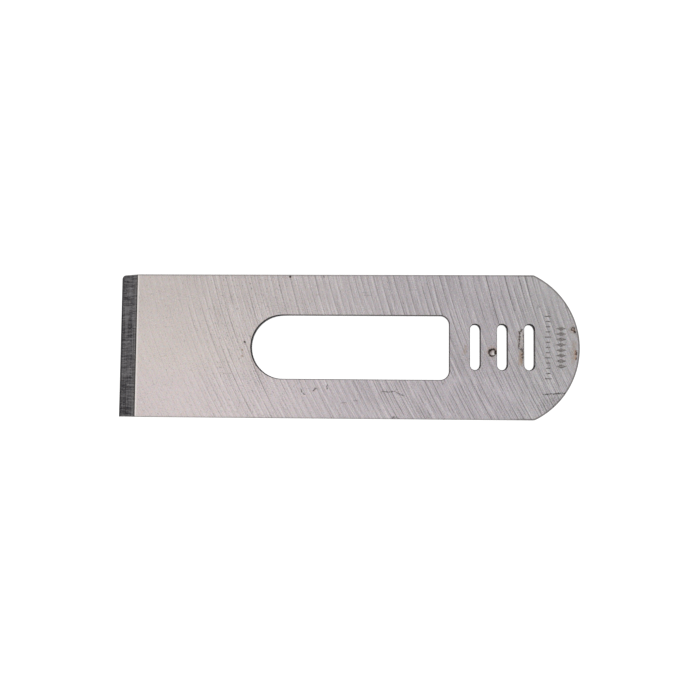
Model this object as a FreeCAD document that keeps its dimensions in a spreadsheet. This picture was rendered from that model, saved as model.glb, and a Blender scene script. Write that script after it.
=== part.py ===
import FreeCAD, Part
import math
import os
import Sketcher

# The cutting iron of a block plane: one flat piece of hardened tool steel, bevelled across
# one end, rounded at the other, and punched with a long slot for the lever cap screw and a
# row of cross slots that the depth adjuster's lug drops into.
#
# X runs along the iron from the cutting edge (-X) to the rounded tail (+X), Y runs across it
# and Z up through its thickness. The flat back lies on Z = 0 and the bevel faces up, as the
# iron sits in the plane. The origin is under the middle of the iron. Millimetres, degrees.

driving_sizes = {
    # the blank
    "iron_length": 112.0,
    "iron_width": 35.0,
    "iron_thickness": 2.1,
    "tail_over": 2.0,           # how much the tail's radius exceeds half the width
    "shoulder_radius": 1.5,     # blends each straight side into the tail
    "rim_break": 0.2,           # rounding of the sides and the tail, on both faces
    # the cutting end
    "bevel_angle": 25.0,
    "corner_ease": 1.0,         # the corner at +Y is worn round, the other is still square
    # the row of cross slots, set out from the tail
    "cross_count": 3,
    "cross_pitch": 6.5,
    "cross_width": 2.4,
    "cross_length": 11.0,
    "cross_tail_gap": 12.0,     # tail tip to the middle of the last cross slot
    # the long slot, one land ahead of the row
    "slot_length": 48.1,
    "slot_width": 15.5,
    "slot_corner": 2.2,
    "slot_land": 5.0,           # steel between the long slot and the first cross slot
    "slot_offset": 0.2,         # how far the long slot sits off the iron's middle line, to -Y
    "slot_break": 0.1,          # rounding of every slot's rims
    # the hardness tester's dent beside the second cross slot
    "dent_width": 1.9,
    "dent_depth": 0.22,
    "dent_land": 0.2,           # steel between the dent and the cross slot's wall
    "dent_offset": -1.3,        # across the iron, from its middle line
    "dent_slot": 1,             # how many cross slots lie between the dent's and the tail
}

CLEAR = 1.0     # how far a cutting profile runs past the steel it removes
TOL = 1e-4      # how near an edge lies to a face to count as on it

doc = FreeCAD.newDocument("plane_iron")
sheet = doc.addObject("Spreadsheet::Sheet", "sizes")
for row, (alias, value) in enumerate(driving_sizes.items(), start=1):
    sheet.set(f"A{row}", alias)
    sheet.set(f"B{row}", str(value))
    sheet.setAlias(f"B{row}", alias)
doc.recompute()

# Places that several features share, each written once as an expression on the sheet.
half_length = "sizes.iron_length / 2"
half_width = "sizes.iron_width / 2"
tail_radius = f"{half_width} + sizes.tail_over"
bevel_run = "sizes.iron_thickness / tan(sizes.bevel_angle)"
last_cross_x = f"{half_length} - sizes.cross_tail_gap"
row_length = "sizes.cross_pitch * (sizes.cross_count - 1)"
slot_end_x = f"{last_cross_x} - {row_length} - sizes.cross_width / 2 - sizes.slot_land"
dent_x = (f"{last_cross_x} - sizes.cross_pitch * sizes.dent_slot"
          " - sizes.cross_width / 2 - sizes.dent_land - sizes.dent_width / 2")


def worth(expression):
    """The present value of an expression on the sheet, for a sketch's first guess."""
    value = sheet.evalExpression(expression)
    return float(getattr(value, "Value", value))


def plane_of(body, role):
    return next(item for item in body.Origin.OriginFeatures if item.Role == role)


def new_sketch(body, role, name):
    sketch = body.newObject("Sketcher::SketchObject", name)
    sketch.AttachmentSupport = [(plane_of(body, role), "")]
    sketch.MapMode = "FlatFace"
    return sketch


def line(sketch, start, end):
    return sketch.addGeometry(Part.LineSegment(FreeCAD.Vector(*start, 0), FreeCAD.Vector(*end, 0)))


def arc(sketch, centre, radius, start_deg, end_deg):
    circle = Part.Circle(FreeCAD.Vector(*centre, 0), FreeCAD.Vector(0, 0, 1), radius)
    return sketch.addGeometry(
        Part.ArcOfCircle(circle, math.radians(start_deg), math.radians(end_deg)))


def rule(sketch, *args):
    sketch.addConstraint(Sketcher.Constraint(*args))


def size(sketch, name, expression, *args):
    """A dimension of the sketch that follows the sheet."""
    index = sketch.addConstraint(Sketcher.Constraint(*args, worth(expression)))
    sketch.renameConstraint(index, name)
    sketch.setExpression(f"Constraints.{name}", expression)


def chain(sketch, pieces, kinds):
    """Join each piece's end to the next one's start: T smoothly, C at a corner."""
    for place, kind in enumerate(kinds):
        first, second = pieces[place], pieces[(place + 1) % len(pieces)]
        rule(sketch, "Tangent" if kind == "T" else "Coincident", first, 2, second, 1)


def blank_outline(body):
    """Square end, straight sides, small shoulders and a round tail."""
    sketch = new_sketch(body, "XY_Plane", "blank_outline")
    half_l, half_w = worth(half_length), worth(half_width)
    tail_r, shoulder_r = worth(tail_radius), worth("sizes.shoulder_radius")
    tail_x = half_l - tail_r
    reach = math.sqrt((tail_r - shoulder_r) ** 2 - (half_w - shoulder_r) ** 2)
    shoulder_x = tail_x + reach
    spread = math.degrees(math.atan2(half_w - shoulder_r, reach))
    low = line(sketch, (-half_l, -half_w), (shoulder_x, -half_w))
    low_shoulder = arc(sketch, (shoulder_x, shoulder_r - half_w), shoulder_r, -90, -spread)
    tail = arc(sketch, (tail_x, 0), tail_r, -spread, spread)
    high_shoulder = arc(sketch, (shoulder_x, half_w - shoulder_r), shoulder_r, spread, 90)
    high = line(sketch, (shoulder_x, half_w), (-half_l, half_w))
    front = line(sketch, (-half_l, half_w), (-half_l, -half_w))
    chain(sketch, [low, low_shoulder, tail, high_shoulder, high, front], "TTTTCC")
    rule(sketch, "Horizontal", low)
    rule(sketch, "Horizontal", high)
    rule(sketch, "Vertical", front)
    rule(sketch, "PointOnObject", tail, 3, -1)
    rule(sketch, "Equal", low_shoulder, high_shoulder)
    size(sketch, "tail_r", tail_radius, "Radius", tail)
    size(sketch, "shoulder_r", "sizes.shoulder_radius", "Radius", low_shoulder)
    size(sketch, "front_x", half_length, "DistanceX", front, 1, -1, 1)
    size(sketch, "tail_x", f"{half_length} - ({tail_radius})", "DistanceX", -1, 1, tail, 3)
    size(sketch, "low_y", half_width, "DistanceY", low, 1, -1, 1)
    size(sketch, "high_y", half_width, "DistanceY", -1, 1, high, 1)
    return sketch


def bevel_profile(body):
    """Everything above the bevel's slope, seen from the side, and a little clear of the steel."""
    sketch = new_sketch(body, "XZ_Plane", "bevel_profile")
    edge_x = -worth(half_length)
    heel_x = edge_x + worth(bevel_run)
    thick = worth("sizes.iron_thickness")
    corners = [(edge_x, 0), (heel_x, thick), (heel_x, thick + CLEAR),
               (edge_x - CLEAR, thick + CLEAR), (edge_x - CLEAR, 0)]
    sides = [line(sketch, start, end) for start, end in zip(corners, corners[1:] + corners[:1])]
    chain(sketch, sides, "CCCCC")
    rule(sketch, "Vertical", sides[1])
    rule(sketch, "Horizontal", sides[2])
    rule(sketch, "Vertical", sides[3])
    rule(sketch, "PointOnObject", sides[4], 1, -1)
    rule(sketch, "PointOnObject", sides[0], 1, -1)
    rule(sketch, "DistanceY", sides[1], 1, sides[1], 2, CLEAR)
    rule(sketch, "DistanceX", sides[4], 1, sides[4], 2, CLEAR)
    size(sketch, "edge_x", half_length, "DistanceX", sides[0], 1, -1, 1)
    size(sketch, "run", bevel_run, "DistanceX", sides[0], 1, sides[0], 2)
    size(sketch, "rise", "sizes.iron_thickness", "DistanceY", sides[0], 1, sides[0], 2)
    return sketch


def worn_corner(body):
    """What wear has taken off the cutting edge's corner at +Y."""
    sketch = new_sketch(body, "XY_Plane", "worn_corner")
    edge_x, side_y, ease = -worth(half_length), worth(half_width), worth("sizes.corner_ease")
    corners = [(edge_x + ease, side_y), (edge_x + ease, side_y + CLEAR),
               (edge_x - CLEAR, side_y + CLEAR), (edge_x - CLEAR, side_y - ease),
               (edge_x, side_y - ease)]
    sides = [line(sketch, start, end) for start, end in zip(corners, corners[1:])]
    curve = arc(sketch, (edge_x + ease, side_y - ease), ease, 90, 180)
    for first, second in zip(sides, sides[1:]):
        rule(sketch, "Coincident", first, 2, second, 1)
    rule(sketch, "Coincident", sides[-1], 2, curve, 2)
    rule(sketch, "Coincident", sides[0], 1, curve, 1)
    rule(sketch, "Vertical", sides[0])
    rule(sketch, "Horizontal", sides[1])
    rule(sketch, "Vertical", sides[2])
    rule(sketch, "Horizontal", sides[3])
    rule(sketch, "Vertical", sides[0], 1, curve, 3)
    rule(sketch, "Horizontal", sides[3], 2, curve, 3)
    rule(sketch, "DistanceY", sides[0], 1, sides[0], 2, CLEAR)
    rule(sketch, "DistanceX", sides[3], 1, sides[3], 2, CLEAR)
    size(sketch, "ease", "sizes.corner_ease", "Radius", curve)
    size(sketch, "edge_x", half_length, "DistanceX", sides[3], 2, -1, 1)
    size(sketch, "side_y", half_width, "DistanceY", -1, 1, sides[0], 1)
    return sketch


def slot_outline(body):
    """Round towards the cutting edge, square with small corners towards the tail."""
    sketch = new_sketch(body, "XY_Plane", "slot_outline")
    half = worth("sizes.slot_width / 2")
    corner = worth("sizes.slot_corner")
    end_x = worth(slot_end_x)
    nose_x = end_x - worth("sizes.slot_length") + half
    middle_y = -worth("sizes.slot_offset")
    low_y, high_y = middle_y - half, middle_y + half
    nose = arc(sketch, (nose_x, middle_y), half, 90, 270)
    low = line(sketch, (nose_x, low_y), (end_x - corner, low_y))
    low_corner = arc(sketch, (end_x - corner, low_y + corner), corner, -90, 0)
    end = line(sketch, (end_x, low_y + corner), (end_x, high_y - corner))
    high_corner = arc(sketch, (end_x - corner, high_y - corner), corner, 0, 90)
    high = line(sketch, (end_x - corner, high_y), (nose_x, high_y))
    chain(sketch, [nose, low, low_corner, end, high_corner, high], "TTTTTT")
    rule(sketch, "Horizontal", low)
    rule(sketch, "Vertical", end)
    rule(sketch, "Equal", low_corner, high_corner)
    size(sketch, "middle_y", "sizes.slot_offset", "DistanceY", nose, 3, -1, 1)
    size(sketch, "nose_r", "sizes.slot_width / 2", "Radius", nose)
    size(sketch, "corner_r", "sizes.slot_corner", "Radius", low_corner)
    size(sketch, "end_x", slot_end_x, "DistanceX", -1, 1, end, 1)
    size(sketch, "nose_x", "sizes.slot_length - sizes.slot_width / 2", "DistanceX", nose, 3, end, 1)
    return sketch


def cross_slot_outline(body):
    """The cross slot nearest the tail, round at both ends."""
    sketch = new_sketch(body, "XY_Plane", "cross_slot_outline")
    half = worth("sizes.cross_width / 2")
    reach = worth("sizes.cross_length / 2") - half
    middle = worth(last_cross_x)
    right = line(sketch, (middle + half, -reach), (middle + half, reach))
    top = arc(sketch, (middle, reach), half, 0, 180)
    left = line(sketch, (middle - half, reach), (middle - half, -reach))
    bottom = arc(sketch, (middle, -reach), half, 180, 360)
    chain(sketch, [right, top, left, bottom], "TTTT")
    rule(sketch, "Vertical", right)
    rule(sketch, "Symmetric", top, 3, bottom, 3, -1)
    size(sketch, "end_r", "sizes.cross_width / 2", "Radius", top)
    size(sketch, "reach", "sizes.cross_length - sizes.cross_width", "DistanceY", bottom, 3, top, 3)
    size(sketch, "middle_x", last_cross_x, "DistanceX", -1, 1, top, 3)
    return sketch


def dent_profile(body):
    """Half the dent's bowl, turned about the sketch's own upright axis."""
    sketch = new_sketch(body, "XZ_Plane", "dent_profile")
    # the upright plane faces -Y, so its own third axis runs against the iron's Y
    sketch.setExpression("AttachmentOffset.Base.x", dent_x)
    sketch.setExpression("AttachmentOffset.Base.z", "-sizes.dent_offset")
    half, deep = worth("sizes.dent_width / 2"), worth("sizes.dent_depth")
    thick = worth("sizes.iron_thickness")
    ball = (half ** 2 + deep ** 2) / (2 * deep)
    rim = math.degrees(math.asin(half / ball))
    bowl = arc(sketch, (0, thick - deep + ball), ball, -90, rim - 90)
    side = line(sketch, (half, thick), (half, thick + CLEAR))
    lid = line(sketch, (half, thick + CLEAR), (0, thick + CLEAR))
    axis = line(sketch, (0, thick + CLEAR), (0, thick - deep))
    chain(sketch, [bowl, side, lid, axis], "CCCC")
    rule(sketch, "Vertical", side)
    rule(sketch, "Horizontal", lid)
    rule(sketch, "PointOnObject", axis, 1, -2)
    rule(sketch, "PointOnObject", axis, 2, -2)
    rule(sketch, "PointOnObject", bowl, 3, -2)
    rule(sketch, "DistanceY", side, 1, side, 2, CLEAR)
    size(sketch, "half_width", "sizes.dent_width / 2", "DistanceX", lid, 2, lid, 1)
    size(sketch, "rim_z", "sizes.iron_thickness", "DistanceY", -1, 1, side, 1)
    size(sketch, "floor_z", "sizes.iron_thickness - sizes.dent_depth",
         "DistanceY", -1, 1, bowl, 1)
    return sketch


def cut(body, name, sketch, **settings):
    """A pocket or groove that must take steel away."""
    kind = settings.pop("kind", "Pocket")
    before = body.Shape.Volume
    feature = body.newObject(f"PartDesign::{kind}", name)
    feature.Profile = sketch
    for setting, value in settings.items():
        setattr(feature, setting, value)
    doc.recompute()
    if body.Shape.Volume >= before - TOL:
        raise RuntimeError(f"{name} cuts nothing")
    return feature


def round_edges(body, name, radius_alias, chosen):
    """Round the edges of the body's present shape that chosen(box) accepts."""
    base = body.Tip
    edges = [f"Edge{number}" for number, edge in enumerate(base.Shape.Edges, start=1)
             if chosen(edge.BoundBox)]
    feature = body.newObject("PartDesign::Fillet", name)
    feature.Base = (base, edges)
    feature.setExpression("Radius", f"sizes.{radius_alias}")
    doc.recompute()
    return feature


def on_a_face(box):
    """True for an edge that lies in the back face or in the upper face."""
    thick = worth("sizes.iron_thickness")
    return box.ZLength < TOL and min(abs(box.ZMin), abs(box.ZMin - thick)) < TOL


def build_iron():
    body = doc.addObject("PartDesign::Body", "plane_iron")
    body.Label = "plane_iron"

    blank = body.newObject("PartDesign::Pad", "blank")
    blank.Profile = blank_outline(body)
    blank.setExpression("Length", "sizes.iron_thickness")
    doc.recompute()

    # the rims are rounded before the bevel is ground, so the bevel cuts them off cleanly
    front_x = -worth(half_length)
    round_edges(body, "rim_rounding", "rim_break",
                lambda box: on_a_face(box) and box.XMax > front_x + TOL)

    cut(body, "bevel", bevel_profile(body), Type="ThroughAll", Midplane=True)
    cut(body, "corner_wear", worn_corner(body), Type="ThroughAll", Midplane=True)
    cut(body, "long_slot", slot_outline(body), Type="ThroughAll", Midplane=True)

    first = cut(body, "cross_slot", cross_slot_outline(body), Type="ThroughAll", Midplane=True)
    before = body.Shape.Volume
    slots = body.newObject("PartDesign::LinearPattern", "cross_slots")
    slots.Originals = [first]
    slots.Direction = (plane_of(body, "X_Axis"), [""])
    slots.Reversed = True
    slots.setExpression("Length", row_length)
    slots.setExpression("Occurrences", "sizes.cross_count")
    body.Tip = slots
    doc.recompute()
    if body.Shape.Volume >= before - TOL:
        raise RuntimeError("the cross slots are not repeated")

    slot_front = worth(f"{slot_end_x} - sizes.slot_length")
    slot_back = worth(f"{last_cross_x} + sizes.cross_width / 2")
    slot_side = max(worth("sizes.slot_width / 2 + abs(sizes.slot_offset)"),
                    worth("sizes.cross_length / 2"))
    round_edges(body, "slot_rounding", "slot_break",
                lambda box: on_a_face(box) and box.XMin > slot_front - TOL
                and box.XMax < slot_back + TOL and max(-box.YMin, box.YMax) < slot_side + TOL)

    dent_sketch = dent_profile(body)
    doc.recompute()
    cut(body, "dent", dent_sketch, kind="Groove", ReferenceAxis=(dent_sketch, ["V_Axis"]),
        Angle=360.0)
    return body


parts = [build_iron()]

doc.recompute()
for item in doc.Objects:
    if "Invalid" in item.State or "Error" in item.State:
        raise RuntimeError(f"{item.Label} did not rebuild: {item.State}")
for part in parts:
    if part.Shape.isNull() or not part.Shape.isValid() or len(part.Shape.Solids) != 1:
        raise RuntimeError(f"{part.Label} is not one sound solid")

os.makedirs("parts", exist_ok=True)
for part in parts:
    part.Shape.exportStep(f"parts/{part.Label}.step")
    box = part.Shape.optimalBoundingBox(False)
    print(f"{part.Label}: {box.XLength:.3f} x {box.YLength:.3f} x {box.ZLength:.3f} mm, "
          f"{part.Shape.Volume:.1f} mm3, {len(part.Shape.Faces)} faces")
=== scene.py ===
import math
import random

import bmesh
import bpy
from mathutils import Euler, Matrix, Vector
from mathutils.geometry import delaunay_2d_cdt


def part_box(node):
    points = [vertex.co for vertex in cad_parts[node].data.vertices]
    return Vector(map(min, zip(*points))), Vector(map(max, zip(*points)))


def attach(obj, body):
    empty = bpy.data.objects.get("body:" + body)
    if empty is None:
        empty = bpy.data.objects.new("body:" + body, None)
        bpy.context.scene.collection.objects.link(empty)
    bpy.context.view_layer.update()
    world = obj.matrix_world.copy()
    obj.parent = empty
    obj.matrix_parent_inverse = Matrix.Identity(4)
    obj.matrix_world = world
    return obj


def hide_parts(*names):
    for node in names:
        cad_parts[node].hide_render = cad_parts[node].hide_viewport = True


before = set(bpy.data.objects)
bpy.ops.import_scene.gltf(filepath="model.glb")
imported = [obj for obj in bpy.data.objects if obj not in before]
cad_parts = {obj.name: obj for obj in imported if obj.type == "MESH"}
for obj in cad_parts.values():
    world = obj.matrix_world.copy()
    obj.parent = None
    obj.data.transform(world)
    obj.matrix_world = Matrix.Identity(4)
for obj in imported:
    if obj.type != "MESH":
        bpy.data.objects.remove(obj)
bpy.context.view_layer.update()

scene = bpy.context.scene
mm = 0.001

# The iron lies on its flat back: the cutting edge at -X, the round tail at +X, the bevel up.
# Sizes are in millimetres until a mesh is made.
low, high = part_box("plane_iron")
edgeX, tailX = low.x / mm, high.x / mm
halfWidth, thickness = high.y / mm, high.z / mm

iron = {
    "name": "ground_plane_iron",
    "tailOver": 2.0,            # how much the tail's radius exceeds half the width
    "shoulderRadius": 1.5,
    "wornCorner": 1.0,          # the edge's corner at +Y
    "rimRadius": 0.2,
    "bevelAngle": 25.0,
    "bevelHollow": 0.02,
    "edgeFlat": 0.03,           # what is left of the thickness at the very edge
    "thinRim": 0.45,            # the share of the thickness that a rim's rounding may take
}

# How finely the mesh follows all that.
meshing = {
    "loopStep": 0.3,            # between points along a rim
    "rimSteps": 5,
    "rimLand": 0.04,            # a narrow ring that keeps the flat faces flat up to the rim
    "gridStep": 1.2,            # between points over the upper face
    "backStep": 3.0,
    "jitter": 0.2,              # how far the grids' points stray, as a share of the step
    "gridClear": 0.6,           # how far those points keep from the rims,
    "backClear": 1.0,
    "heelClear": 0.4,           # from the bevel's heel,
    "markClear": 0.1,           # and from hollows and stamps
    "pointClear": 0.03,         # how far a hollow's own points keep from a rim
}
longSlot = {"length": 48.1, "width": 15.5, "corner": 2.2, "land": 5.0, "offset": -0.2,
            "rimRadius": 0.1}
crossSlots = {"count": 3, "pitch": 6.5, "width": 2.4, "length": 11.0, "tailGap": 12.0,
              "rimRadius": 0.1}
# The slots were punched from the back: their walls are burnished low down, torn above that,
# and break out wider at the upper rim. Each breakout step is a share of the torn height and of
# the breakout's width.
punching = {"tornShare": 0.45, "breakout": 0.09, "roughness": 0.015,
            "steps": ((0.08, 0.45), (0.22, 0.15), (0.45, 0.04), (0.7, 0.0), (1.0, 0.0)),
            "burnishTop": 1.32, "burnishFull": 1.08,    # above the back, where it starts and is full
            "burnishWander": 1.1}

bevelRun = thickness / math.tan(math.radians(iron["bevelAngle"]))
heelX = edgeX + bevelRun
tailRadius = halfWidth + iron["tailOver"]
tailCentre = Vector((tailX - tailRadius, 0))
crossX = [tailX - crossSlots["tailGap"] - crossSlots["pitch"] * i
          for i in range(crossSlots["count"])]
slotEndX = crossX[-1] - crossSlots["width"] / 2 - longSlot["land"]
noseX = slotEndX - longSlot["length"] + longSlot["width"] / 2
noseCentre = Vector((noseX, longSlot["offset"]))

# Round hollows in the upper face: place, width and depth. The first is a hardness tester's.
hollows = [
    {"at": (35.15, -1.3), "width": 1.9, "depth": 0.22, "rings": 7},
    {"at": (54.7, 3.8), "width": 0.55, "depth": 0.10, "rings": 3},
    {"at": (-24.9, 0.9), "width": 0.60, "depth": 0.05, "rings": 3},
    {"at": (-25.5, -1.0), "width": 0.45, "depth": 0.04, "rings": 3},
    {"at": (-25.3, -2.5), "width": 0.35, "depth": 0.02, "rings": 2},
    {"at": (46.2, 9.75), "width": 0.8, "depth": 0.025, "rings": 3},
]

# Plain stamped strokes on the tail: a run of ticks and a run of lozenges.
ticks = {"x": 48.4, "count": 13, "pitch": 1.25, "long": 1.6, "short": 1.1, "longEvery": 4,
         "width": 0.26, "depth": 0.07}
lozenges = {"x": 51.5, "count": 8, "pitch": 1.3, "length": 2.5, "width": 1.05, "depth": 0.08}
stampSlope = 3                  # a stroke reaches its full depth a third of the way in
stampReach = 1.3                # other points keep this many half lengths from its middle


# Outlines run with the steel on their left. Each point comes with the way out of the steel.
def walkLine(start, end, step):
    start, end = Vector(start), Vector(end)
    count = max(1, round((end - start).length / step))
    ahead = (end - start).normalized()
    out = Vector((ahead.y, -ahead.x))
    return [(start.lerp(end, i / count), out) for i in range(1, count)]


def walkArc(centre, radius, startDeg, endDeg, step):
    turn = math.radians(endDeg - startDeg)
    count = max(4, round(abs(turn) * radius / step))
    side = 1 if turn > 0 else -1
    points = []
    for i in range(count + 1):
        angle = math.radians(startDeg) + turn * i / count
        ray = Vector((math.cos(angle), math.sin(angle)))
        points.append((Vector(centre) + ray * radius, ray * side))
    return points


def outerLoop(step):
    shoulder, wearAndShade = iron["shoulderRadius"], iron["wornCorner"]
    reach = math.sqrt((tailRadius - shoulder) ** 2 - (halfWidth - shoulder) ** 2)
    shoulderX = tailCentre.x + reach
    spread = math.degrees(math.atan2(halfWidth - shoulder, reach))
    lowY = -halfWidth
    sharp = (Vector((edgeX, lowY)), Vector((-1, -1)))       # the corner that is still square
    heelLow = (Vector((heelX, lowY)), Vector((0, -1)))
    heelHigh = (Vector((heelX, -lowY)), Vector((0, 1)))
    return ([sharp]
            + walkLine((edgeX, lowY), (heelX, lowY), step) + [heelLow]
            + walkLine((heelX, lowY), (shoulderX, lowY), step)
            + walkArc((shoulderX, lowY + shoulder), shoulder, -90, -spread, step / 2)[:-1]
            + walkArc(tailCentre, tailRadius, -spread, spread, step)
            + walkArc((shoulderX, -lowY - shoulder), shoulder, spread, 90, step / 2)[1:]
            + walkLine((shoulderX, -lowY), (heelX, -lowY), step) + [heelHigh]
            + walkLine((heelX, -lowY), (edgeX + wearAndShade, -lowY), step)
            + walkArc((edgeX + wearAndShade, -lowY - wearAndShade), wearAndShade, 90, 180, step / 2)
            + walkLine((edgeX, -lowY - wearAndShade), (edgeX, lowY), step))


def longSlotLoop(step):
    half, corner = longSlot["width"] / 2, longSlot["corner"]
    lowY, highY = longSlot["offset"] - half, longSlot["offset"] + half
    cornerX = slotEndX - corner
    return (walkArc(noseCentre, half, 270, 90, step)
            + walkLine((noseCentre.x, highY), (cornerX, highY), step)
            + walkArc((cornerX, highY - corner), corner, 90, 0, step / 2)
            + walkLine((slotEndX, highY - corner), (slotEndX, lowY + corner), step)
            + walkArc((cornerX, lowY + corner), corner, 0, -90, step / 2)
            + walkLine((cornerX, lowY), (noseCentre.x, lowY), step))


def crossSlotLoop(middleX, step):
    half = crossSlots["width"] / 2
    reach = crossSlots["length"] / 2 - half
    return (walkArc((middleX, -reach), half, 0, -180, step / 2)
            + walkLine((middleX - half, -reach), (middleX - half, reach), step)
            + walkArc((middleX, reach), half, 180, 0, step / 2)
            + walkLine((middleX + half, reach), (middleX + half, -reach), step))


def stampAreas():
    areas = []
    for i in range(ticks["count"]):
        y = (i - (ticks["count"] - 1) / 2) * ticks["pitch"]
        length = ticks["long"] if i % ticks["longEvery"] == 0 else ticks["short"]
        areas.append({"at": Vector((ticks["x"], y)), "half": length / 2,
                      "halfWidth": ticks["width"] / 2, "depth": ticks["depth"], "square": True})
    for i in range(lozenges["count"]):
        y = (i - (lozenges["count"] - 1) / 2) * lozenges["pitch"]
        areas.append({"at": Vector((lozenges["x"], y)), "half": lozenges["length"] / 2,
                      "halfWidth": lozenges["width"] / 2, "depth": lozenges["depth"],
                      "square": False})
    return areas


stamps = stampAreas()


# How far into a stamped stroke a place is: 0 at its outline, 1 in the middle.
def stampShare(stamp, x, y):
    along = abs(x - stamp["at"].x) / stamp["half"]
    sideways = abs(y - stamp["at"].y) / stamp["halfWidth"]
    return 1 - max(along, sideways) if stamp["square"] else 1 - along - sideways


# How deep inside the steel a place is, from above.
def steelMargin(x, y):
    here = Vector((x, y))
    margins = [halfWidth - abs(y), x - edgeX]
    if x > tailCentre.x:
        margins.append(tailRadius - (here - tailCentre).length)
    half = longSlot["width"] / 2
    if x < noseCentre.x:
        margins.append((here - noseCentre).length - half)
    else:
        margins.append(max(abs(y - longSlot["offset"]) - half, x - slotEndX))
    reach = (crossSlots["length"] - crossSlots["width"]) / 2
    for middleX in crossX:
        nearest = Vector((middleX, max(-reach, min(reach, y))))
        margins.append((here - nearest).length - crossSlots["width"] / 2)
    return min(margins)


def upperHeight(x, y):
    height = thickness
    if x < heelX:
        share = max(0, (x - edgeX) / bevelRun)
        height = iron["edgeFlat"] + (thickness - iron["edgeFlat"]) * share
        height -= 4 * iron["bevelHollow"] * share * (1 - share)
    for hollow in hollows:
        away = (Vector((x, y)) - Vector(hollow["at"])).length / (hollow["width"] / 2)
        if away < 1:
            height -= hollow["depth"] * (1 - away * away)
    for stamp in stamps:
        share = stampShare(stamp, x, y)
        if share > 0:
            height -= stamp["depth"] * min(1, share * stampSlope)
    return height


# One closed wall from the upper rim down to the lower one, and the two rims' last rings.
def buildWall(mesh, loop, rimRadius, punched, chance):
    steps, land = meshing["rimSteps"], meshing["rimLand"]
    flare = punching["breakout"] if punched else 0
    columns = []
    for point, out in loop:
        inner = point - out * (flare + rimRadius)
        radius = min(rimRadius, iron["thinRim"] * upperHeight(inner.x, inner.y))
        reach = flare + radius
        inner = point - out * reach
        top = upperHeight(inner.x, inner.y)
        inland = point - out * (reach + land)
        column = [(reach + land, upperHeight(inland.x, inland.y))]
        for i in range(steps + 1):
            angle = math.radians(90 - 90 * i / steps)
            drop = radius * (1 - math.sin(angle))
            column.append((reach - radius * math.cos(angle), top - drop))
        if punched:
            tornDepth = (top - 2 * radius) * punching["tornShare"]
            for down, width in punching["steps"]:
                back = flare * width + chance.uniform(0, punching["roughness"])
                column.append((back, top - radius - tornDepth * down))
        for i in range(steps + 1):
            angle = math.radians(90 * i / steps)
            column.append((radius * (1 - math.cos(angle)), radius * (1 - math.sin(angle))))
        column.append((radius + land, 0))
        columns.append([mesh.verts.new(Vector((*(point - out * inset), height)) * mm)
                        for inset, height in column])
    for left, right in zip(columns, columns[1:] + columns[:1]):
        for i in range(len(left) - 1):
            mesh.faces.new((left[i], left[i + 1], right[i + 1], right[i]))
    return [column[0] for column in columns], [column[-1] for column in columns]


# Fill between the rims with triangles that pass through the extra points and lines.
def fillFace(mesh, rims, extraPoints, extraLine, heightAt, upward):
    owners = [vert for rim in rims for vert in rim]
    points = [Vector((vert.co.x, vert.co.y)) / mm for vert in owners]
    rimOf = [number for number, rim in enumerate(rims) for vert in rim]
    edges = []
    start = 0
    for rim in rims:
        edges += [(start + i, start + (i + 1) % len(rim)) for i in range(len(rim))]
        start += len(rim)
    first = len(points)
    points += extraLine
    edges += [(first + i, first + i + 1) for i in range(len(extraLine) - 1)]
    points += extraPoints
    insideOnly, closeness = 1, 1e-6
    made = delaunay_2d_cdt(points, edges, [], insideOnly, closeness)
    places, faces, sources = made[0], made[2], made[3]
    verts, rimNumber = [], []
    for place, source in zip(places, sources):
        if source and source[0] < len(owners):
            verts.append(owners[source[0]])
            rimNumber.append(rimOf[source[0]])
        else:
            height = heightAt(place.x, place.y)
            verts.append(mesh.verts.new(Vector((place.x, place.y, height)) * mm))
            rimNumber.append(None)
    for face in faces:
        rimsHere = {rimNumber[i] for i in face}
        if len(rimsHere) == 1 and rimsHere != {None} and rimsHere != {0}:
            continue                    # it would lie across an open slot
        corners = [verts[i] for i in face]
        mesh.faces.new(corners if upward else corners[::-1])


# A loose grid of points, away from every rim.
def looseGrid(step, clear, chance):
    points = []
    jitter = meshing["jitter"]
    for i in range(int((tailX - edgeX) / step) + 1):
        for j in range(int(2 * halfWidth / step) + 1):
            x = edgeX + (i + 0.5 + chance.uniform(-jitter, jitter)) * step
            y = -halfWidth + (j + 0.5 + chance.uniform(-jitter, jitter)) * step
            if steelMargin(x, y) > clear:
                points.append(Vector((x, y)))
    return points


def hollowRings():
    clear = punching["breakout"] + crossSlots["rimRadius"] + meshing["rimLand"]
    clear += meshing["pointClear"]
    points = []
    for hollow in hollows:
        for ring in range(1, hollow["rings"] + 2):
            radius = hollow["width"] / 2 * ring / hollow["rings"]
            count = 8 + 4 * ring
            for i in range(count):
                angle = math.tau * i / count
                place = Vector(hollow["at"]) + Vector((math.cos(angle), math.sin(angle))) * radius
                if steelMargin(*place) > clear:
                    points.append(place)
        points.append(Vector(hollow["at"]))
    return points


# Points over each stamped stroke and one row past its outline.
def stampPoints():
    points = []
    columns, rows, waist = 8, 3, 1.12
    for stamp in stamps:
        for i in range(-columns - 1, columns + 2):
            for j in range(-rows - 1, rows + 2):
                x, y = stamp["half"] * i / columns, stamp["halfWidth"] * j / rows
                if not stamp["square"]:
                    y *= waist - abs(i) / (columns + 1)     # the rows close in at both points
                points.append(stamp["at"] + Vector((x, y)))
    return points


# Where hollows and stamps have points of their own: middles and radii.
def markedPlaces():
    places = []
    for hollow in hollows:
        reach = hollow["width"] / 2 * (1 + 2 / hollow["rings"]) + meshing["markClear"]
        places.append((Vector(hollow["at"]), reach))
    for stamp in stamps:
        places.append((stamp["at"], stamp["half"] * stampReach))
    return places


# The finishes in the order of the piece's material slots.
finishOrder = ["ground", "bevel", "punched", "side", "stamped"]
slotOf = {name: number for number, name in enumerate(finishOrder)}


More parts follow.
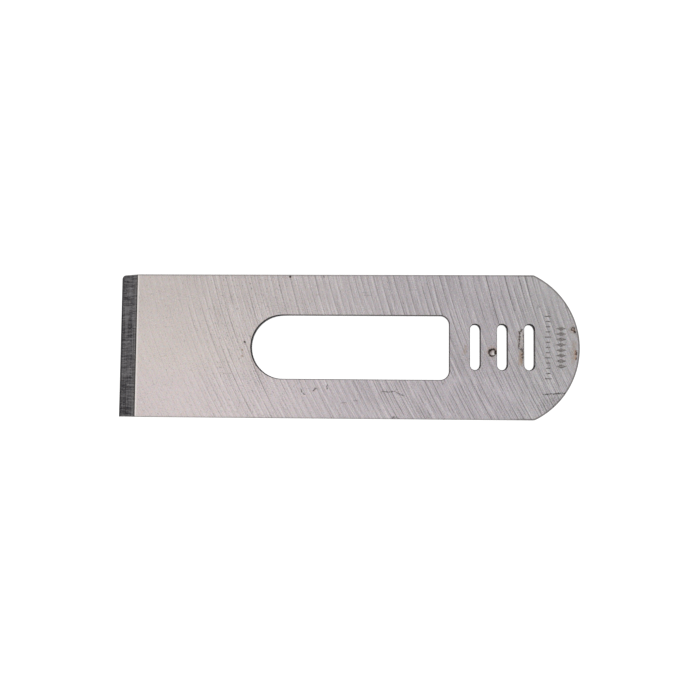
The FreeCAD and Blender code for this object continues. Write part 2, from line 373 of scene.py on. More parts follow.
# The walls were made first, rim by rim, then the upper face and last the back.
def pickFinish(face, number, wallEnds, upperFaces):
    middle = face.calc_center_median() / mm
    nearlyLevel = 0.98
    if number < wallEnds[-1] and abs(face.normal.z) < nearlyLevel:
        return "side" if number < wallEnds[0] else "punched"
    if number < upperFaces and face.normal.z > 0:
        if middle.x < heelX:
            return "bevel"
        if any(stampShare(stamp, middle.x, middle.y) > 0 for stamp in stamps):
            return "stamped"
    return "ground"


def makeIron():
    chance = random.Random(7)
    quiteLevel = 0.999999
    mesh = bmesh.new()
    step = meshing["loopStep"]
    loops = [(outerLoop(step), iron["rimRadius"], False),
             (longSlotLoop(step), longSlot["rimRadius"], True)]
    loops += [(crossSlotLoop(x, step), crossSlots["rimRadius"], True) for x in crossX]
    upperRims, lowerRims, wallEnds = [], [], []
    for loop, radius, punched in loops:
        upper, lower = buildWall(mesh, loop, radius, punched, chance)
        upperRims.append(upper)
        lowerRims.append(lower)
        wallEnds.append(len(mesh.faces))

    marked = markedPlaces()
    grid = [point for point in looseGrid(meshing["gridStep"], meshing["gridClear"], chance)
            if abs(point.x - heelX) > meshing["heelClear"]
            and all((point - middle).length > reach for middle, reach in marked)]
    heelEnd = halfWidth - iron["rimRadius"] - meshing["rimLand"]
    heelCount = round(2 * heelEnd / step)
    heel = [Vector((heelX, -heelEnd + 2 * heelEnd * i / heelCount)) for i in range(heelCount + 1)]
    fillFace(mesh, upperRims, grid + hollowRings() + stampPoints(), heel, upperHeight, True)
    upperFaces = len(mesh.faces)
    backGrid = looseGrid(meshing["backStep"], meshing["backClear"], chance)
    fillFace(mesh, lowerRims, backGrid, [], lambda x, y: 0.0, False)

    mesh.normal_update()
    for number, face in enumerate(mesh.faces):
        level = number >= wallEnds[-1] and abs(face.normal.z) >= quiteLevel
        face.smooth = not level                 # level faces shade evenly only when flat
        face.material_index = slotOf[pickFinish(face, number, wallEnds, upperFaces)]
    heelKinds = {slotOf["ground"], slotOf["bevel"]}
    for edge in mesh.edges:
        if {face.material_index for face in edge.link_faces} == heelKinds:
            edge.smooth = False                 # the heel stays crisp
    data = bpy.data.meshes.new(iron["name"])
    mesh.to_mesh(data)
    mesh.free()
    piece = bpy.data.objects.new(iron["name"], data)
    scene.collection.objects.link(piece)
    print(f"iron: {len(data.polygons)} faces")
    return piece


# Small helpers for building materials.
def addNode(tree, kind, inputs=None, **settings):
    made = tree.nodes.new(kind)
    for name, value in settings.items():
        setattr(made, name, value)
    for name, value in (inputs or {}).items():
        if isinstance(value, bpy.types.NodeSocket):
            tree.links.new(value, made.inputs[name])
        else:
            made.inputs[name].default_value = value
    return made


def calc(tree, operation, first, second=0.0, clamp=False):
    return addNode(tree, "ShaderNodeMath", {0: first, 1: second}, operation=operation,
                   use_clamp=clamp).outputs[0]


def fade(tree, value, start, end, low=0.0, high=1.0):
    return addNode(tree, "ShaderNodeMapRange", {"Value": value, "From Min": start, "From Max": end,
                   "To Min": low, "To Max": high}, interpolation_type="SMOOTHSTEP").outputs[0]


def blendColour(tree, share, first, second, blendType="MIX"):
    made = addNode(tree, "ShaderNodeMix", data_type="RGBA", blend_type=blendType)
    for socket, value in ((made.inputs[0], share), (made.inputs[6], first), (made.inputs[7], second)):
        if isinstance(value, bpy.types.NodeSocket):
            tree.links.new(value, socket)
        else:
            socket.default_value = value
    return made.outputs[2]


def noiseAt(tree, first, second, scaleFirst, scaleSecond, offset=0.0, detail=2.0, rough=0.5):
    place = addNode(tree, "ShaderNodeCombineXYZ", {
        "X": calc(tree, "MULTIPLY", first, scaleFirst),
        "Y": calc(tree, "MULTIPLY", second, scaleSecond), "Z": offset})
    return addNode(tree, "ShaderNodeTexNoise", {"Vector": place.outputs[0], "Scale": 1.0,
                   "Detail": detail, "Roughness": rough}).outputs["Fac"]


def newMaterial(name):
    material = bpy.data.materials.new(name)
    material.use_nodes = True
    tree = material.node_tree
    tree.nodes.clear()
    shader = addNode(tree, "ShaderNodeBsdfPrincipled")
    output = addNode(tree, "ShaderNodeOutputMaterial")
    tree.links.new(shader.outputs[0], output.inputs[0])
    place = addNode(tree, "ShaderNodeTexCoord").outputs["Object"]
    scaled = addNode(tree, "ShaderNodeVectorMath", {0: place, "Scale": 1 / mm}, operation="SCALE")
    split = addNode(tree, "ShaderNodeSeparateXYZ", {0: scaled.outputs[0]})
    return material, tree, shader, split.outputs[0], split.outputs[1], split.outputs[2]


def addBump(tree, shader, strength, depth, relief):
    bump = addNode(tree, "ShaderNodeBump", {"Strength": strength, "Distance": depth * mm,
                                            "Height": relief})
    tree.links.new(bump.outputs[0], shader.inputs["Normal"])


grinding = {
    "arcRadius": 131.0,         # the wheel's track over the face
    "arcCentreY": 48.0,
    "pitch": 1.58,              # between chatter lines
    "warm": (0.67, 0.62, 0.59, 1),          # towards the edge,
    "cool": (0.505, 0.476, 0.498, 1),       # towards the cross slots
    "tail": (0.50, 0.487, 0.492, 1),        # and past them
    "dark": (0.17, 0.16, 0.165, 1),
    "light": (0.88, 0.86, 0.86, 1),
    "lowerTint": (1.01, 1.0, 1.045, 1),     # over the side at -Y
    "lowerTailTint": (1.075, 1.08, 1.05, 1),    # and again over its tail end
    # a painted highlight: the bright line on the face just past the bevel's heel, and how strong it
    # is
    "heel": (0.98, 0.96, 0.93, 1),
    "paintedHeelGlint": 0.5,
    # painted shade along the outer rim
    "paintedRimShade": (0.16, 0.145, 0.14, 1),
    "rimShadeWidth": (0.3, 0.5),                # where the painted rim shade starts to fade and where it ends
    "brushed": 0.45,
    "roughness": (0.30, 0.10),              # the least, and what the scratches add
    "relief": {"lines": 0.4, "fine": 0.5, "hair": 0.06},
    "reliefDepth": 0.004,
}
# Patterns that follow the wheel: how often each one turns to a millimetre, across its track and
# along Y, then a place in the noise, the detail and the roughness.
wheelNoises = {
    "band": (1.5, 0.04, 5.0, 1),
    "fine": (3.3, 0.08, 7.0, 2, 0.6),
    "hair": (8.0, 0.5, 9.0, 2, 0.6),
    "fleck": (3.0, 1.4, 31.0, 2, 0.6),
}
# The same along X and Y.
faceNoises = {
    "cloud": (0.11, 0.14, 2.0, 3),
    "grain": (4.2, 4.2, 6.0, 2, 0.75),
}
# How much each one moves the tone, and whether it fades where the wheel hardly marked the steel.
toneShares = (("band", 0.2, True), ("fine", 1.7, True), ("cloud", 0.3, False),
              ("hair", 0.8, False), ("grain", 2.1, False))
# An oil film's faint play of colours: a place in the noise and the two tints it swings between.
oilFilms = [
    (12.0, (1.05, 0.975, 1.0, 1), (0.965, 1.018, 1.0, 1)),
    (17.0, (0.99, 0.985, 1.055, 1), (1.01, 1.01, 0.955, 1)),
]

# Marks on the upper face: spots, dashes and rings, "wide" across and "long" from end to end.
marks = {
    "stain": {"colour": (0.33, 0.22, 0.12, 1), "patchy": True, "shapes": [
        {"at": (-25.5, -1.0), "long": 0.0, "wide": 0.6, "share": 0.9},
        {"at": (-25.3, -2.5), "long": 0.2, "wide": 0.6, "share": 0.7},
        {"at": (54.4, -1.2), "long": 6.0, "wide": 1.2, "turn": 85, "share": 0.35},
        {"at": (54.2, 4.3), "long": 0.0, "wide": 1.9, "share": 0.4},
        {"at": (28.6, -0.6), "long": 2.5, "wide": 0.8, "turn": 88, "share": 0.4},
        {"at": (41.9, -2.6), "long": 4.0, "wide": 1.4, "turn": 84, "share": 0.5},
        {"at": (41.8, 1.8), "long": 5.2, "wide": 2.0, "turn": 86, "share": 0.2},
        {"at": (35.1, -1.3), "long": 0.0, "wide": 2.9, "share": 0.3},
    ]},
    "bloom": {"colour": (0.50, 0.24, 0.10, 1), "patchy": True, "shapes": [
        {"at": (54.9, -1.7), "long": 2.6, "wide": 0.7, "turn": 86, "share": 0.45},
        {"at": (54.6, 4.1), "long": 1.2, "wide": 0.9, "turn": 60, "share": 0.35},
        {"at": (41.9, -2.6), "long": 2.8, "wide": 0.9, "turn": 80, "share": 0.16},
        {"at": (35.0, -1.0), "long": 1.6, "wide": 2.6, "ring": 0.5, "share": 0.2},
    ]},
    "rust": {"colour": (0.035, 0.019, 0.010, 1), "patchy": True, "shapes": [
        {"at": (41.55, 1.7), "long": 4.6, "wide": 0.45, "turn": 87, "share": 0.85},
        {"at": (42.05, 4.0), "long": 1.3, "wide": 0.55, "turn": 40, "share": 0.9},
        {"at": (42.6, 1.4), "long": 3.8, "wide": 0.4, "turn": 90, "share": 0.8},
        {"at": (42.0, -0.5), "long": 1.1, "wide": 0.45, "turn": 15, "share": 0.8},
        {"at": (42.35, -1.7), "long": 2.6, "wide": 0.6, "turn": 88, "share": 0.9},
        {"at": (55.1, -1.2), "long": 1.2, "wide": 0.45, "turn": 86, "share": 0.9},
        {"at": (55.05, -2.6), "long": 0.9, "wide": 0.4, "turn": 84, "share": 0.8},
    ]},
    "pitAndShade": {"colour": (0.025, 0.016, 0.010, 1), "patchy": False, "shapes": [
        # the dent's dark ring and the crescent at its upper left: partly rust, partly painted shade
        # on its upper-left slope; the rest are pits
        {"at": (35.1, -1.3), "long": 0.0, "wide": 2.25, "ring": 0.60, "share": 0.95},
        {"at": (34.9, -0.7), "long": 1.5, "wide": 0.7, "turn": 35, "share": 1.0},
        {"at": (54.75, 3.7), "long": 0.0, "wide": 0.75, "share": 1.0},
        {"at": (54.4, 4.5), "long": 0.0, "wide": 1.0, "ring": 0.32, "share": 0.85},
        {"at": (-24.9, 0.9), "long": 0.3, "wide": 0.6, "share": 0.9},
        {"at": (-13.9, 17.0), "long": 0.4, "wide": 0.65, "share": 1.0},
        {"at": (-5.6, 17.1), "long": 0.4, "wide": 0.5, "share": 0.9},
    ]},
    # a painted highlight in the middle of the hardness tester's dent
    "paintedDentHighlight": {"colour": (0.97, 0.96, 0.94, 1), "patchy": False, "shapes": [
        {"at": (35.3, -1.55), "long": 0.0, "wide": 0.8, "share": 0.6},
    ]},
    "scratch": {"colour": (0.05, 0.044, 0.042, 1), "patchy": True, "shapes": [
        {"at": (49.8, -11.1), "long": 5.4, "wide": 0.32, "turn": 4, "share": 0.9},
        {"at": (10.2, -10.9), "long": 3.8, "wide": 0.28, "turn": 2, "share": 0.75},
        {"at": (13.0, -11.5), "long": 2.2, "wide": 0.34, "turn": -22, "share": 0.9},
        {"at": (5.0, 12.4), "long": 2.0, "wide": 0.22, "turn": 0, "share": 0.5},
        {"at": (4.2, 13.1), "long": 1.4, "wide": 0.20, "turn": 12, "share": 0.4},
        {"at": (-10.6, -11.1), "long": 1.8, "wide": 0.36, "turn": -58, "share": 1.0},
        {"at": (-7.7, -10.5), "long": 1.3, "wide": 0.42, "turn": 50, "share": 0.95},
        {"at": (-4.6, -9.8), "long": 1.3, "wide": 0.32, "turn": 86, "share": 0.95},
        {"at": (-23.5, 2.2), "long": 0.0, "wide": 0.4, "share": 0.7},
        {"at": (12.0, -17.1), "long": 1.8, "wide": 0.4, "turn": 0, "share": 0.7},
        {"at": (46.2, 9.75), "long": 0.0, "wide": 0.9, "ring": 0.28, "share": 0.5},
        {"at": (40.4, 9.1), "long": 0.0, "wide": 0.5, "share": 0.5},
        {"at": (42.2, 8.7), "long": 0.0, "wide": 0.5, "share": 0.4},
        {"at": (-2.2, 10.2), "long": 0.0, "wide": 0.5, "share": 0.5},
        {"at": (13.6, 10.6), "long": 0.0, "wide": 0.45, "share": 0.45},
        {"at": (-0.6, -13.6), "long": 1.4, "wide": 0.26, "turn": 8, "share": 0.55},
        {"at": (2.4, -13.1), "long": 1.0, "wide": 0.26, "turn": -15, "share": 0.55},
    ]},
}
# A patch of short file strokes by the tail's rim.
fileStrokes = {"first": (46.3, -14.6), "step": (0.55, 0.28), "count": 9, "long": 2.6, "wide": 0.22,
               "turn": -62, "share": 0.5}
marks["scratch"]["shapes"] += [
    {"at": (fileStrokes["first"][0] + fileStrokes["step"][0] * i,
            fileStrokes["first"][1] + fileStrokes["step"][1] * i),
     "long": fileStrokes["long"], "wide": fileStrokes["wide"], "turn": fileStrokes["turn"],
     "share": fileStrokes["share"]} for i in range(fileStrokes["count"])]
# How the marks' borders wander, and where they fade, in half widths.
ragged = {"wander": 1.3, "scale": 1.5, "fadeFrom": 0.3, "fadeTo": 1.3}


# A coordinate shifted a little from place to place, which makes a shape's border ragged.
def strayed(tree, coordinate, x, y, offset):
    noise = noiseAt(tree, x, y, ragged["scale"], ragged["scale"], offset, 3, 0.7)
    return calc(tree, "ADD", coordinate, calc(tree, "MULTIPLY", ragged["wander"],
                                              calc(tree, "SUBTRACT", noise, 0.5)))


# The mark's share in its middle, fading to 0 past its border.
def markMask(tree, x, y, shape):
    turn = math.radians(shape.get("turn", 0))
    right = calc(tree, "SUBTRACT", x, shape["at"][0])
    up = calc(tree, "SUBTRACT", y, shape["at"][1])
    along = calc(tree, "ADD", calc(tree, "MULTIPLY", right, math.cos(turn)),
                 calc(tree, "MULTIPLY", up, math.sin(turn)))
    sideways = calc(tree, "SUBTRACT", calc(tree, "MULTIPLY", up, math.cos(turn)),
                    calc(tree, "MULTIPLY", right, math.sin(turn)))
    beyond = calc(tree, "MAXIMUM", calc(tree, "SUBTRACT", calc(tree, "ABSOLUTE", along),
                                        max(0, shape["long"] - shape["wide"]) / 2), 0.0)
    away = calc(tree, "SQRT", calc(tree, "ADD", calc(tree, "MULTIPLY", beyond, beyond),
                                   calc(tree, "MULTIPLY", sideways, sideways)))
    half = shape["wide"] / 2
    if "ring" in shape:
        half = shape["ring"] / 2
        away = calc(tree, "ABSOLUTE", calc(tree, "SUBTRACT", away, shape["wide"] / 2 - half))
    inside = fade(tree, away, half * ragged["fadeTo"], half * ragged["fadeFrom"])
    return calc(tree, "MULTIPLY", inside, shape["share"])


# Lay every kind of mark over the colour, on the upper face only.
def layMarks(tree, base, x, y, z):
    markX = strayed(tree, x, x, y, 41.0)
    markY = strayed(tree, y, x, y, 47.0)
    patchy = fade(tree, noiseAt(tree, x, y, 2.2, 2.2, 53.0, 3, 0.7), 0.37, 0.52, 0.25, 1.0)
    upperFace = fade(tree, z, thickness * 0.6, thickness * 0.8)
    for kind in marks.values():
        mask = 0.0
        for shape in kind["shapes"]:
            mask = calc(tree, "MAXIMUM", markMask(tree, markX, markY, shape), mask)
        if kind["patchy"]:
            mask = calc(tree, "MULTIPLY", mask, patchy)
        base = blendColour(tree, calc(tree, "MULTIPLY", mask, upperFace), base, kind["colour"])
    return base


# How far a place on the face is from the outer rim, for the painted shade along it.
def rimDistance(tree, x, y):
    beyond = calc(tree, "MAXIMUM", calc(tree, "SUBTRACT", x, tailCentre.x), 0.0)
    ray = calc(tree, "SQRT", calc(tree, "ADD", calc(tree, "MULTIPLY", beyond, beyond),
                                  calc(tree, "MULTIPLY", y, y)))
    return calc(tree, "MINIMUM", calc(tree, "SUBTRACT", tailRadius, ray),
                calc(tree, "SUBTRACT", halfWidth, calc(tree, "ABSOLUTE", y)))


# A painted highlight along the face just past the bevel's heel, and painted shade along the outer
# rim, most of all at the tail.
def paintHeelGlintAndRimShade(tree, base, x, y):
    paintedHeelGlint = calc(tree, "MULTIPLY", fade(tree, x, heelX + 0.5, heelX + 0.2), grinding["paintedHeelGlint"])
    base = blendColour(tree, paintedHeelGlint, base, grinding["heel"])
    # painted shade along the outer rim, strongest at the tail
    near, far = grinding["rimShadeWidth"]
    rimShadeMask = fade(tree, rimDistance(tree, x, y), far, near)
    wearAndShade = calc(tree, "MAXIMUM", fade(tree, x, tailCentre.x, tailCentre.x + 8, 0.0, 0.72),
                fade(tree, y, -9, 9, 0.12, 0.27))
    return blendColour(tree, calc(tree, "MULTIPLY", rimShadeMask, wearAndShade), base, grinding["paintedRimShade"])


# The steel's colour before any line or scratch, with painted shade darkening it towards +Y at the -X
# end.
def groundColour(tree, x, y):
    along = calc(tree, "ADD", x, calc(tree, "MULTIPLY", y, 0.2))
    base = blendColour(tree, fade(tree, along, -52, 30), grinding["warm"], grinding["cool"])
    base = blendColour(tree, fade(tree, x, 36, 46), base, grinding["tail"])
    # painted shade: darker towards +Y over the -X end of the face
    paintedShade = calc(tree, "MULTIPLY", fade(tree, y, -6, 17, 0.0, 0.13), fade(tree, x, 10, -30))
    base = blendColour(tree, paintedShade, base, grinding["dark"])
    lower = fade(tree, y, -3, -10)
    base = blendColour(tree, lower, base, grinding["lowerTint"], "MULTIPLY")
    return blendColour(tree, calc(tree, "MULTIPLY", lower, fade(tree, x, 2, 14)), base,
                       grinding["lowerTailTint"], "MULTIPLY")


# Where a place lies across the wheel's track, and how the track leans there.
def wheelTrack(tree, x, y):
    dy = calc(tree, "SUBTRACT", y, grinding["arcCentreY"])
    run = calc(tree, "SQRT", calc(tree, "SUBTRACT", grinding["arcRadius"] ** 2,
                                  calc(tree, "MULTIPLY", dy, dy)))
    return calc(tree, "ADD", x, run), calc(tree, "DIVIDE", dy, run)


# Thin dark chatter lines at an even pitch, partly their own colour and partly painted shade of their
# grooves, with pale ones beside them that are a painted highlight on the grooves' flanks, and fainter
# lines between.
def layChatter(tree, base, x, y, across, strength):
    wander = noiseAt(tree, across, y, 0.35, 0.02, 3.0, 1)
    phase = calc(tree, "ADD", calc(tree, "DIVIDE", across, grinding["pitch"]),
                 calc(tree, "MULTIPLY", wander, 0.8))
    saw = calc(tree, "FRACT", phase)
    eachLine = addNode(tree, "ShaderNodeTexWhiteNoise", {"W": calc(tree, "FLOOR", phase)},
                       noise_dimensions="1D").outputs["Value"]
    line = calc(tree, "MULTIPLY", fade(tree, saw, 0.0, 0.06), fade(tree, saw, 0.23, 0.09))
    beside = calc(tree, "MULTIPLY", fade(tree, saw, 0.6, 0.8), fade(tree, saw, 1.0, 0.92))
    broken = fade(tree, noiseAt(tree, across, y, 0.5, 0.10, 11.0, 2), 0.32, 0.6, 0.3, 1.0)
    lineShare = calc(tree, "MULTIPLY", calc(tree, "MULTIPLY", broken, strength),
                     calc(tree, "ADD", 0.4, calc(tree, "MULTIPLY", eachLine, 0.6)))

    # the wheel bit deepest towards the tail and at +Y, and the fainter lines are at -Y
    deepest = calc(tree, "MULTIPLY", fade(tree, x, 0, 24), fade(tree, y, -4, 8))
    deepest = calc(tree, "MULTIPLY", deepest, fade(tree, x, 50, 40, 0.2, 1.0))
    lowest = calc(tree, "MULTIPLY", fade(tree, x, -15, 15), fade(tree, y, 4, -10, 0.25, 1.0))
    halfSaw = calc(tree, "FRACT", calc(tree, "ADD", calc(tree, "MULTIPLY", phase, 2.0), 0.55))
    between = calc(tree, "MULTIPLY", fade(tree, halfSaw, 0.0, 0.14), fade(tree, halfSaw, 0.5, 0.2))
    between = calc(tree, "MULTIPLY", calc(tree, "MULTIPLY", between, lowest),
                   fade(tree, noiseAt(tree, across, y, 0.9, 0.22, 21.0, 2), 0.35, 0.55))

    darkness = calc(tree, "ADD", 0.62, calc(tree, "MULTIPLY", deepest, 0.55))
    darkness = calc(tree, "SUBTRACT", darkness, calc(tree, "MULTIPLY", lowest, 0.25))
    darkLine = calc(tree, "MULTIPLY", calc(tree, "MULTIPLY", line, lineShare), darkness)
    base = blendColour(tree, darkLine, base, grinding["dark"])
    base = blendColour(tree, calc(tree, "MULTIPLY", between, 0.75), base, grinding["dark"])
    # the pale line beside each chatter line is a painted highlight
    paleness = calc(tree, "ADD", 0.3, calc(tree, "MULTIPLY", deepest, 0.1))
    paintedFlankHighlight = calc(tree, "MULTIPLY", calc(tree, "MULTIPLY", beside, lineShare), paleness)
    base = blendColour(tree, paintedFlankHighlight, base, grinding["light"])
    return base, calc(tree, "MULTIPLY", saw, lineShare)


# Pale flecks where the grit tore the surface, dark ones where it left a pit.
def layFlecks(tree, base, x, fleck):
    base = blendColour(tree, fade(tree, fleck, 0.62, 0.74, 0.0, 0.45), base, grinding["light"])
    thick = calc(tree, "MULTIPLY", fade(tree, x, -36, -29), fade(tree, x, -8, -18))
    pits = calc(tree, "MULTIPLY", fade(tree, fleck, 0.40, 0.28),
                calc(tree, "ADD", 0.4, calc(tree, "MULTIPLY", thick, 0.35)))
    return blendColour(tree, pits, base, grinding["dark"])


def groundSteel():
    material, tree, shader, x, y, z = newMaterial("groundSteel")
    across, slope = wheelTrack(tree, x, y)
    noises = {name: noiseAt(tree, across, y, *numbers) for name, numbers in wheelNoises.items()}
    for name, numbers in faceNoises.items():
        noises[name] = noiseAt(tree, x, y, *numbers)

    # the wheel hardly marked the stretch behind the bevel
    strength = fade(tree, calc(tree, "ADD", x, calc(tree, "MULTIPLY", y, 0.1)), -43, -27, 0.27, 1.0)
    base, lines = layChatter(tree, groundColour(tree, x, y), x, y, across, strength)
    tone = 0.0
    for name, share, fromWheel in toneShares:
        part = calc(tree, "MULTIPLY", calc(tree, "SUBTRACT", noises[name], 0.5), share)
        if fromWheel:
            part = calc(tree, "MULTIPLY", part, strength)
        tone = calc(tree, "ADD", part, tone)
    base = blendColour(tree, fade(tree, tone, 0.0, 1.0), base, grinding["light"])
    base = blendColour(tree, fade(tree, tone, 0.0, -1.0), base, grinding["dark"])
    base = layFlecks(tree, base, x, noises["fleck"])
    for offset, first, second in oilFilms:
        film = fade(tree, noiseAt(tree, x, y, 1.7, 1.7, offset, 3, 0.75), 0.40, 0.60)
        base = blendColour(tree, 1.0, base, blendColour(tree, film, first, second), "MULTIPLY")
    base = paintHeelGlintAndRimShade(tree, base, x, y)
    base = layMarks(tree, base, x, y, z)

    tree.links.new(base, shader.inputs["Base Color"])
    shader.inputs["Metallic"].default_value = 1.0
    shader.inputs["Anisotropic"].default_value = grinding["brushed"]
    least, added = grinding["roughness"]
    rough = calc(tree, "ADD", least, calc(tree, "MULTIPLY", noises["fine"], added))
    tree.links.new(rough, shader.inputs["Roughness"])
    tangent = addNode(tree, "ShaderNodeCombineXYZ", {"X": slope, "Y": 1.0, "Z": 0.0})
    tree.links.new(tangent.outputs[0], shader.inputs["Tangent"])
    share = grinding["relief"]
    scratches = calc(tree, "ADD", calc(tree, "MULTIPLY", noises["fine"], share["fine"]),
                     calc(tree, "MULTIPLY", noises["hair"], share["hair"]))
    relief = calc(tree, "ADD", calc(tree, "MULTIPLY", lines, share["lines"]), scratches)
    addBump(tree, shader, 0.6, grinding["reliefDepth"], relief)
    return material


honingAndShade = {
    # the bevel's steel tones are painted dark, painted shade standing in for the dark reflection the
    # bevel shows from above
    "steel": ((0.06, 0.057, 0.065, 1), (0.33, 0.32, 0.33, 1)),
    "tarnish": (0.20, 0.165, 0.14, 1),
    "speck": (0.62, 0.60, 0.58, 1),
    "pale": (0.40, 0.38, 0.36, 1),          # a strip short of the heel
    "edge": (0.05, 0.048, 0.055, 1),
    # painted shadow along the bevel's foot at the heel
    "heel": (0.06, 0.055, 0.05, 1),
    "brushed": 0.3,
}


def bevelSteel():
    material, tree, shader, x, y, _ = newMaterial("bevelSteel")
    streak = noiseAt(tree, y, x, 2.1, 0.25, 1.0, 3, 0.6)
    cell = noiseAt(tree, x, y, 2.6, 2.6, 4.0, 3, 0.7)
    honed = noiseAt(tree, x, y, 3.2, 0.10, 6.0, 2)
    tone = calc(tree, "ADD", calc(tree, "MULTIPLY", streak, 0.5),
                calc(tree, "ADD", calc(tree, "MULTIPLY", cell, 0.2),
                     calc(tree, "MULTIPLY", honed, 0.3)))
    warmth = noiseAt(tree, x, y, 1.6, 1.6, 9.0, 2)
    base = blendColour(tree, fade(tree, tone, 0.40, 0.62), *honingAndShade["steel"])
    base = blendColour(tree, fade(tree, warmth, 0.5, 0.7, 0.0, 0.4), base, honingAndShade["tarnish"])
    speck = fade(tree, noiseAt(tree, x, y, 1.2, 3.4, 15.0, 2), 0.60, 0.72, 0.0, 0.6)
    base = blendColour(tree, speck, base, honingAndShade["speck"])
    # honing left a pale strip short of the heel, and the edge itself is dark
    pale = calc(tree, "MULTIPLY", fade(tree, x, heelX - 1.3, heelX - 0.8),
                fade(tree, x, heelX, heelX - 0.5))
    base = blendColour(tree, calc(tree, "MULTIPLY", pale, 0.18), base, honingAndShade["pale"])
    atEdge = fade(tree, x, edgeX + 0.7, edgeX + 0.3, 0.0, 0.7)
    base = blendColour(tree, atEdge, base, honingAndShade["edge"])
    # painted shadow: a dark line along the bevel's foot at the heel
    paintedHeelShadow = fade(tree, x, heelX - 0.45, heelX - 0.2, 0.0, 0.7)
    base = blendColour(tree, paintedHeelShadow, base, honingAndShade["heel"])
    tree.links.new(base, shader.inputs["Base Color"])
    shader.inputs["Metallic"].default_value = 1.0
    shader.inputs["Anisotropic"].default_value = honingAndShade["brushed"]
    tree.links.new(calc(tree, "ADD", 0.26, calc(tree, "MULTIPLY", cell, 0.12)),
                   shader.inputs["Roughness"])
    tangent = addNode(tree, "ShaderNodeCombineXYZ", {"X": 1.0, "Y": 0.0, "Z": 0.46})
    tree.links.new(tangent.outputs[0], shader.inputs["Tangent"])
    addBump(tree, shader, 0.6, 0.002, tone)
    return material


sides = {"steel": ((0.17, 0.16, 0.155, 1), (0.30, 0.285, 0.28, 1)), "tarnish": (0.12, 0.095, 0.08, 1)}


def sideSteel():
    material, tree, shader, x, y, z = newMaterial("sideSteel")
    around = calc(tree, "ADD", x, y)
    drawn = noiseAt(tree, around, z, 4.0, 0.6, 1.0, 3)
    mottle = noiseAt(tree, around, z, 0.7, 1.2, 5.0, 4, 0.65)
    base = blendColour(tree, fade(tree, drawn, 0.3, 0.7), *sides["steel"])
    base = blendColour(tree, fade(tree, mottle, 0.5, 0.8), base, sides["tarnish"])
    tree.links.new(base, shader.inputs["Base Color"])
    shader.inputs["Metallic"].default_value = 1.0
    tree.links.new(calc(tree, "ADD", 0.36, calc(tree, "MULTIPLY", mottle, 0.2)),
                   shader.inputs["Roughness"])
    addBump(tree, shader, 0.7, 0.01, drawn)
    return material


stamping = {"steel": ((0.15, 0.135, 0.13, 1), (0.36, 0.34, 0.335, 1)), "roughness": 0.5}


def stampedSteel():
    material, tree, shader, x, y, _ = newMaterial("stampedSteel")
    grain = noiseAt(tree, x, y, 3.0, 3.0, 2.0, 3)
    base = blendColour(tree, fade(tree, grain, 0.3, 0.7), *stamping["steel"])
    tree.links.new(base, shader.inputs["Base Color"])
    shader.inputs["Metallic"].default_value = 1.0
    shader.inputs["Roughness"].default_value = stamping["roughness"]
    return material


slotWalls = {
    "torn": ((0.03, 0.027, 0.026, 1), (0.12, 0.10, 0.09, 1)),
    "paintedEndShade": (0.012, 0.01, 0.01, 1),     # at the slots' round ends
    "burnished": (0.42, 0.41, 0.42, 1),
}


def punchedSteel():
    material, tree, shader, x, y, z = newMaterial("punchedSteel")
    around = calc(tree, "ADD", x, y)
    drawn = noiseAt(tree, around, z, 6.0, 0.5, 1.0, 3)
    torn = noiseAt(tree, around, z, 5.0, 4.0, 5.0, 4, 0.7)
    border = calc(tree, "ADD", z, calc(tree, "MULTIPLY", calc(tree, "SUBTRACT", torn, 0.5),
                                       punching["burnishWander"]))
    burnish = fade(tree, border, punching["burnishTop"], punching["burnishFull"])
    # the round ends are painted shade: their walls are darkened near black and lose most of their
    # burnish
    ends = calc(tree, "MULTIPLY", fade(tree, calc(tree, "ABSOLUTE", y), 3.9, 4.7),
                fade(tree, x, slotEndX + 0.5, slotEndX + 1.5))
    ends = calc(tree, "MAXIMUM", ends, fade(tree, x, noseCentre.x + 2, noseCentre.x - 1))
    burnish = calc(tree, "MULTIPLY", burnish, calc(tree, "SUBTRACT", 1.0,
                                                   calc(tree, "MULTIPLY", ends, 0.85)))
    tornColour = blendColour(tree, fade(tree, torn, 0.42, 0.7), *slotWalls["torn"])
    tornColour = blendColour(tree, ends, tornColour, slotWalls["paintedEndShade"])
    base = blendColour(tree, burnish, tornColour, slotWalls["burnished"])
    tree.links.new(base, shader.inputs["Base Color"])
    tree.links.new(calc(tree, "MULTIPLY", burnish, 0.9), shader.inputs["Metallic"])
    shader.inputs["Specular IOR Level"].default_value = 0.15
    tree.links.new(calc(tree, "SUBTRACT", 0.8, calc(tree, "MULTIPLY", burnish, 0.4)),
                   shader.inputs["Roughness"])
    addBump(tree, shader, 0.8, 0.02, blendColour(tree, burnish, torn, drawn))
    return material


camera = {
    "focal": 42.58,
    "sensor": 36.0,
    "place": (8.71, -13.54, 202.03),
    "turn": (2.2528, 3.6206, 0.4757),       # about Y, then X, then the line of sight
}


def makeCamera():
    data = bpy.data.cameras.new("camera")
    data.lens = camera["focal"]
    data.sensor_width = camera["sensor"]
    data.clip_start = 5 * mm
    made = bpy.data.objects.new("camera", data)
    scene.collection.objects.link(made)
    aboutY, aboutX, aboutSight = (math.radians(angle) for angle in camera["turn"])
    turn = (Euler((0, aboutY, 0)).to_matrix() @ Euler((aboutX, 0, 0)).to_matrix()
            @ Euler((0, 0, aboutSight)).to_matrix())
    made.matrix_world = turn.to_4x4()
    made.location = Vector(camera["place"]) * mm
    scene.camera = made


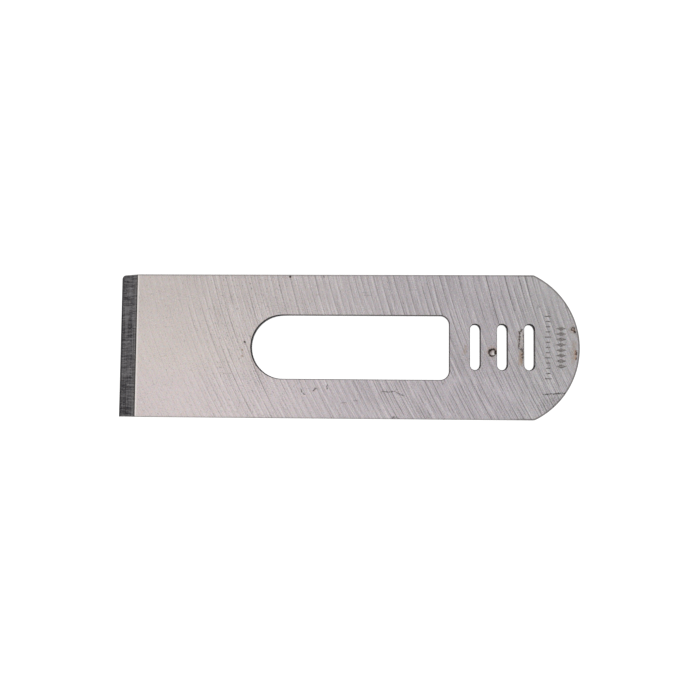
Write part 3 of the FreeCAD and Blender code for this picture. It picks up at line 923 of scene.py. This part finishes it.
studio = {
    "floorSize": 6.0,
    "floorTone": (0.25, 0.25, 0.25, 1),
    "floorGlow": 0.95,
    "horizon": (1.0, 1.0, 1.0, 1),
    "zenith": (0.80, 0.80, 0.80, 1),
    # cards hung round the piece: the way to each, how wide it is full and where it ends, in degrees
    "cards": [
        {"way": (-0.3, -0.12, 0.95), "full": 4, "end": 30, "tone": (1.05, 1.02, 1.0, 1)},
        {"way": (-0.77, 0, 0.64), "full": 14, "end": 24, "tone": (0.10, 0.10, 0.11, 1)},
    ],
}


def makeStudio():
    bpy.ops.mesh.primitive_plane_add(size=studio["floorSize"], location=(0, 0, -0.02 * mm))
    floor = bpy.context.object
    floor.name = "floor"
    material = bpy.data.materials.new("floor")
    material.use_nodes = True
    shader = material.node_tree.nodes["Principled BSDF"]
    shader.inputs["Base Color"].default_value = studio["floorTone"]
    shader.inputs["Roughness"].default_value = 0.9
    shader.inputs["Specular IOR Level"].default_value = 0.1
    shader.inputs["Emission Color"].default_value = (1, 1, 1, 1)
    shader.inputs["Emission Strength"].default_value = studio["floorGlow"]
    floor.data.materials.append(material)

    world = bpy.data.worlds.new("studio")
    scene.world = world
    world.use_nodes = True
    tree = world.node_tree
    tree.nodes.clear()
    way = addNode(tree, "ShaderNodeTexCoord").outputs["Generated"]
    up = addNode(tree, "ShaderNodeSeparateXYZ", {0: way}).outputs[2]
    sky = blendColour(tree, fade(tree, up, 0.0, 1.0), studio["horizon"], studio["zenith"])
    for card in studio["cards"]:
        aim = Vector(card["way"]).normalized()
        along = addNode(tree, "ShaderNodeVectorMath", {0: way, 1: aim}, operation="DOT_PRODUCT")
        share = fade(tree, along.outputs["Value"], math.cos(math.radians(card["end"])),
                     math.cos(math.radians(card["full"])))
        sky = blendColour(tree, share, sky, card["tone"])
    shade = addNode(tree, "ShaderNodeBackground", {"Color": sky, "Strength": 1.0})
    output = addNode(tree, "ShaderNodeOutputWorld")
    tree.links.new(shade.outputs[0], output.inputs[0])


scene.view_settings.view_transform = "Standard"
scene.view_settings.look = "None"
makeCamera()
makeStudio()
print("camera and studio made")

piece = makeIron()
makers = {"ground": groundSteel, "bevel": bevelSteel, "punched": punchedSteel, "side": sideSteel,
          "stamped": stampedSteel}
for name in finishOrder:
    piece.data.materials.append(makers[name]())
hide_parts("plane_iron")
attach(piece, "root")
print("iron finished")
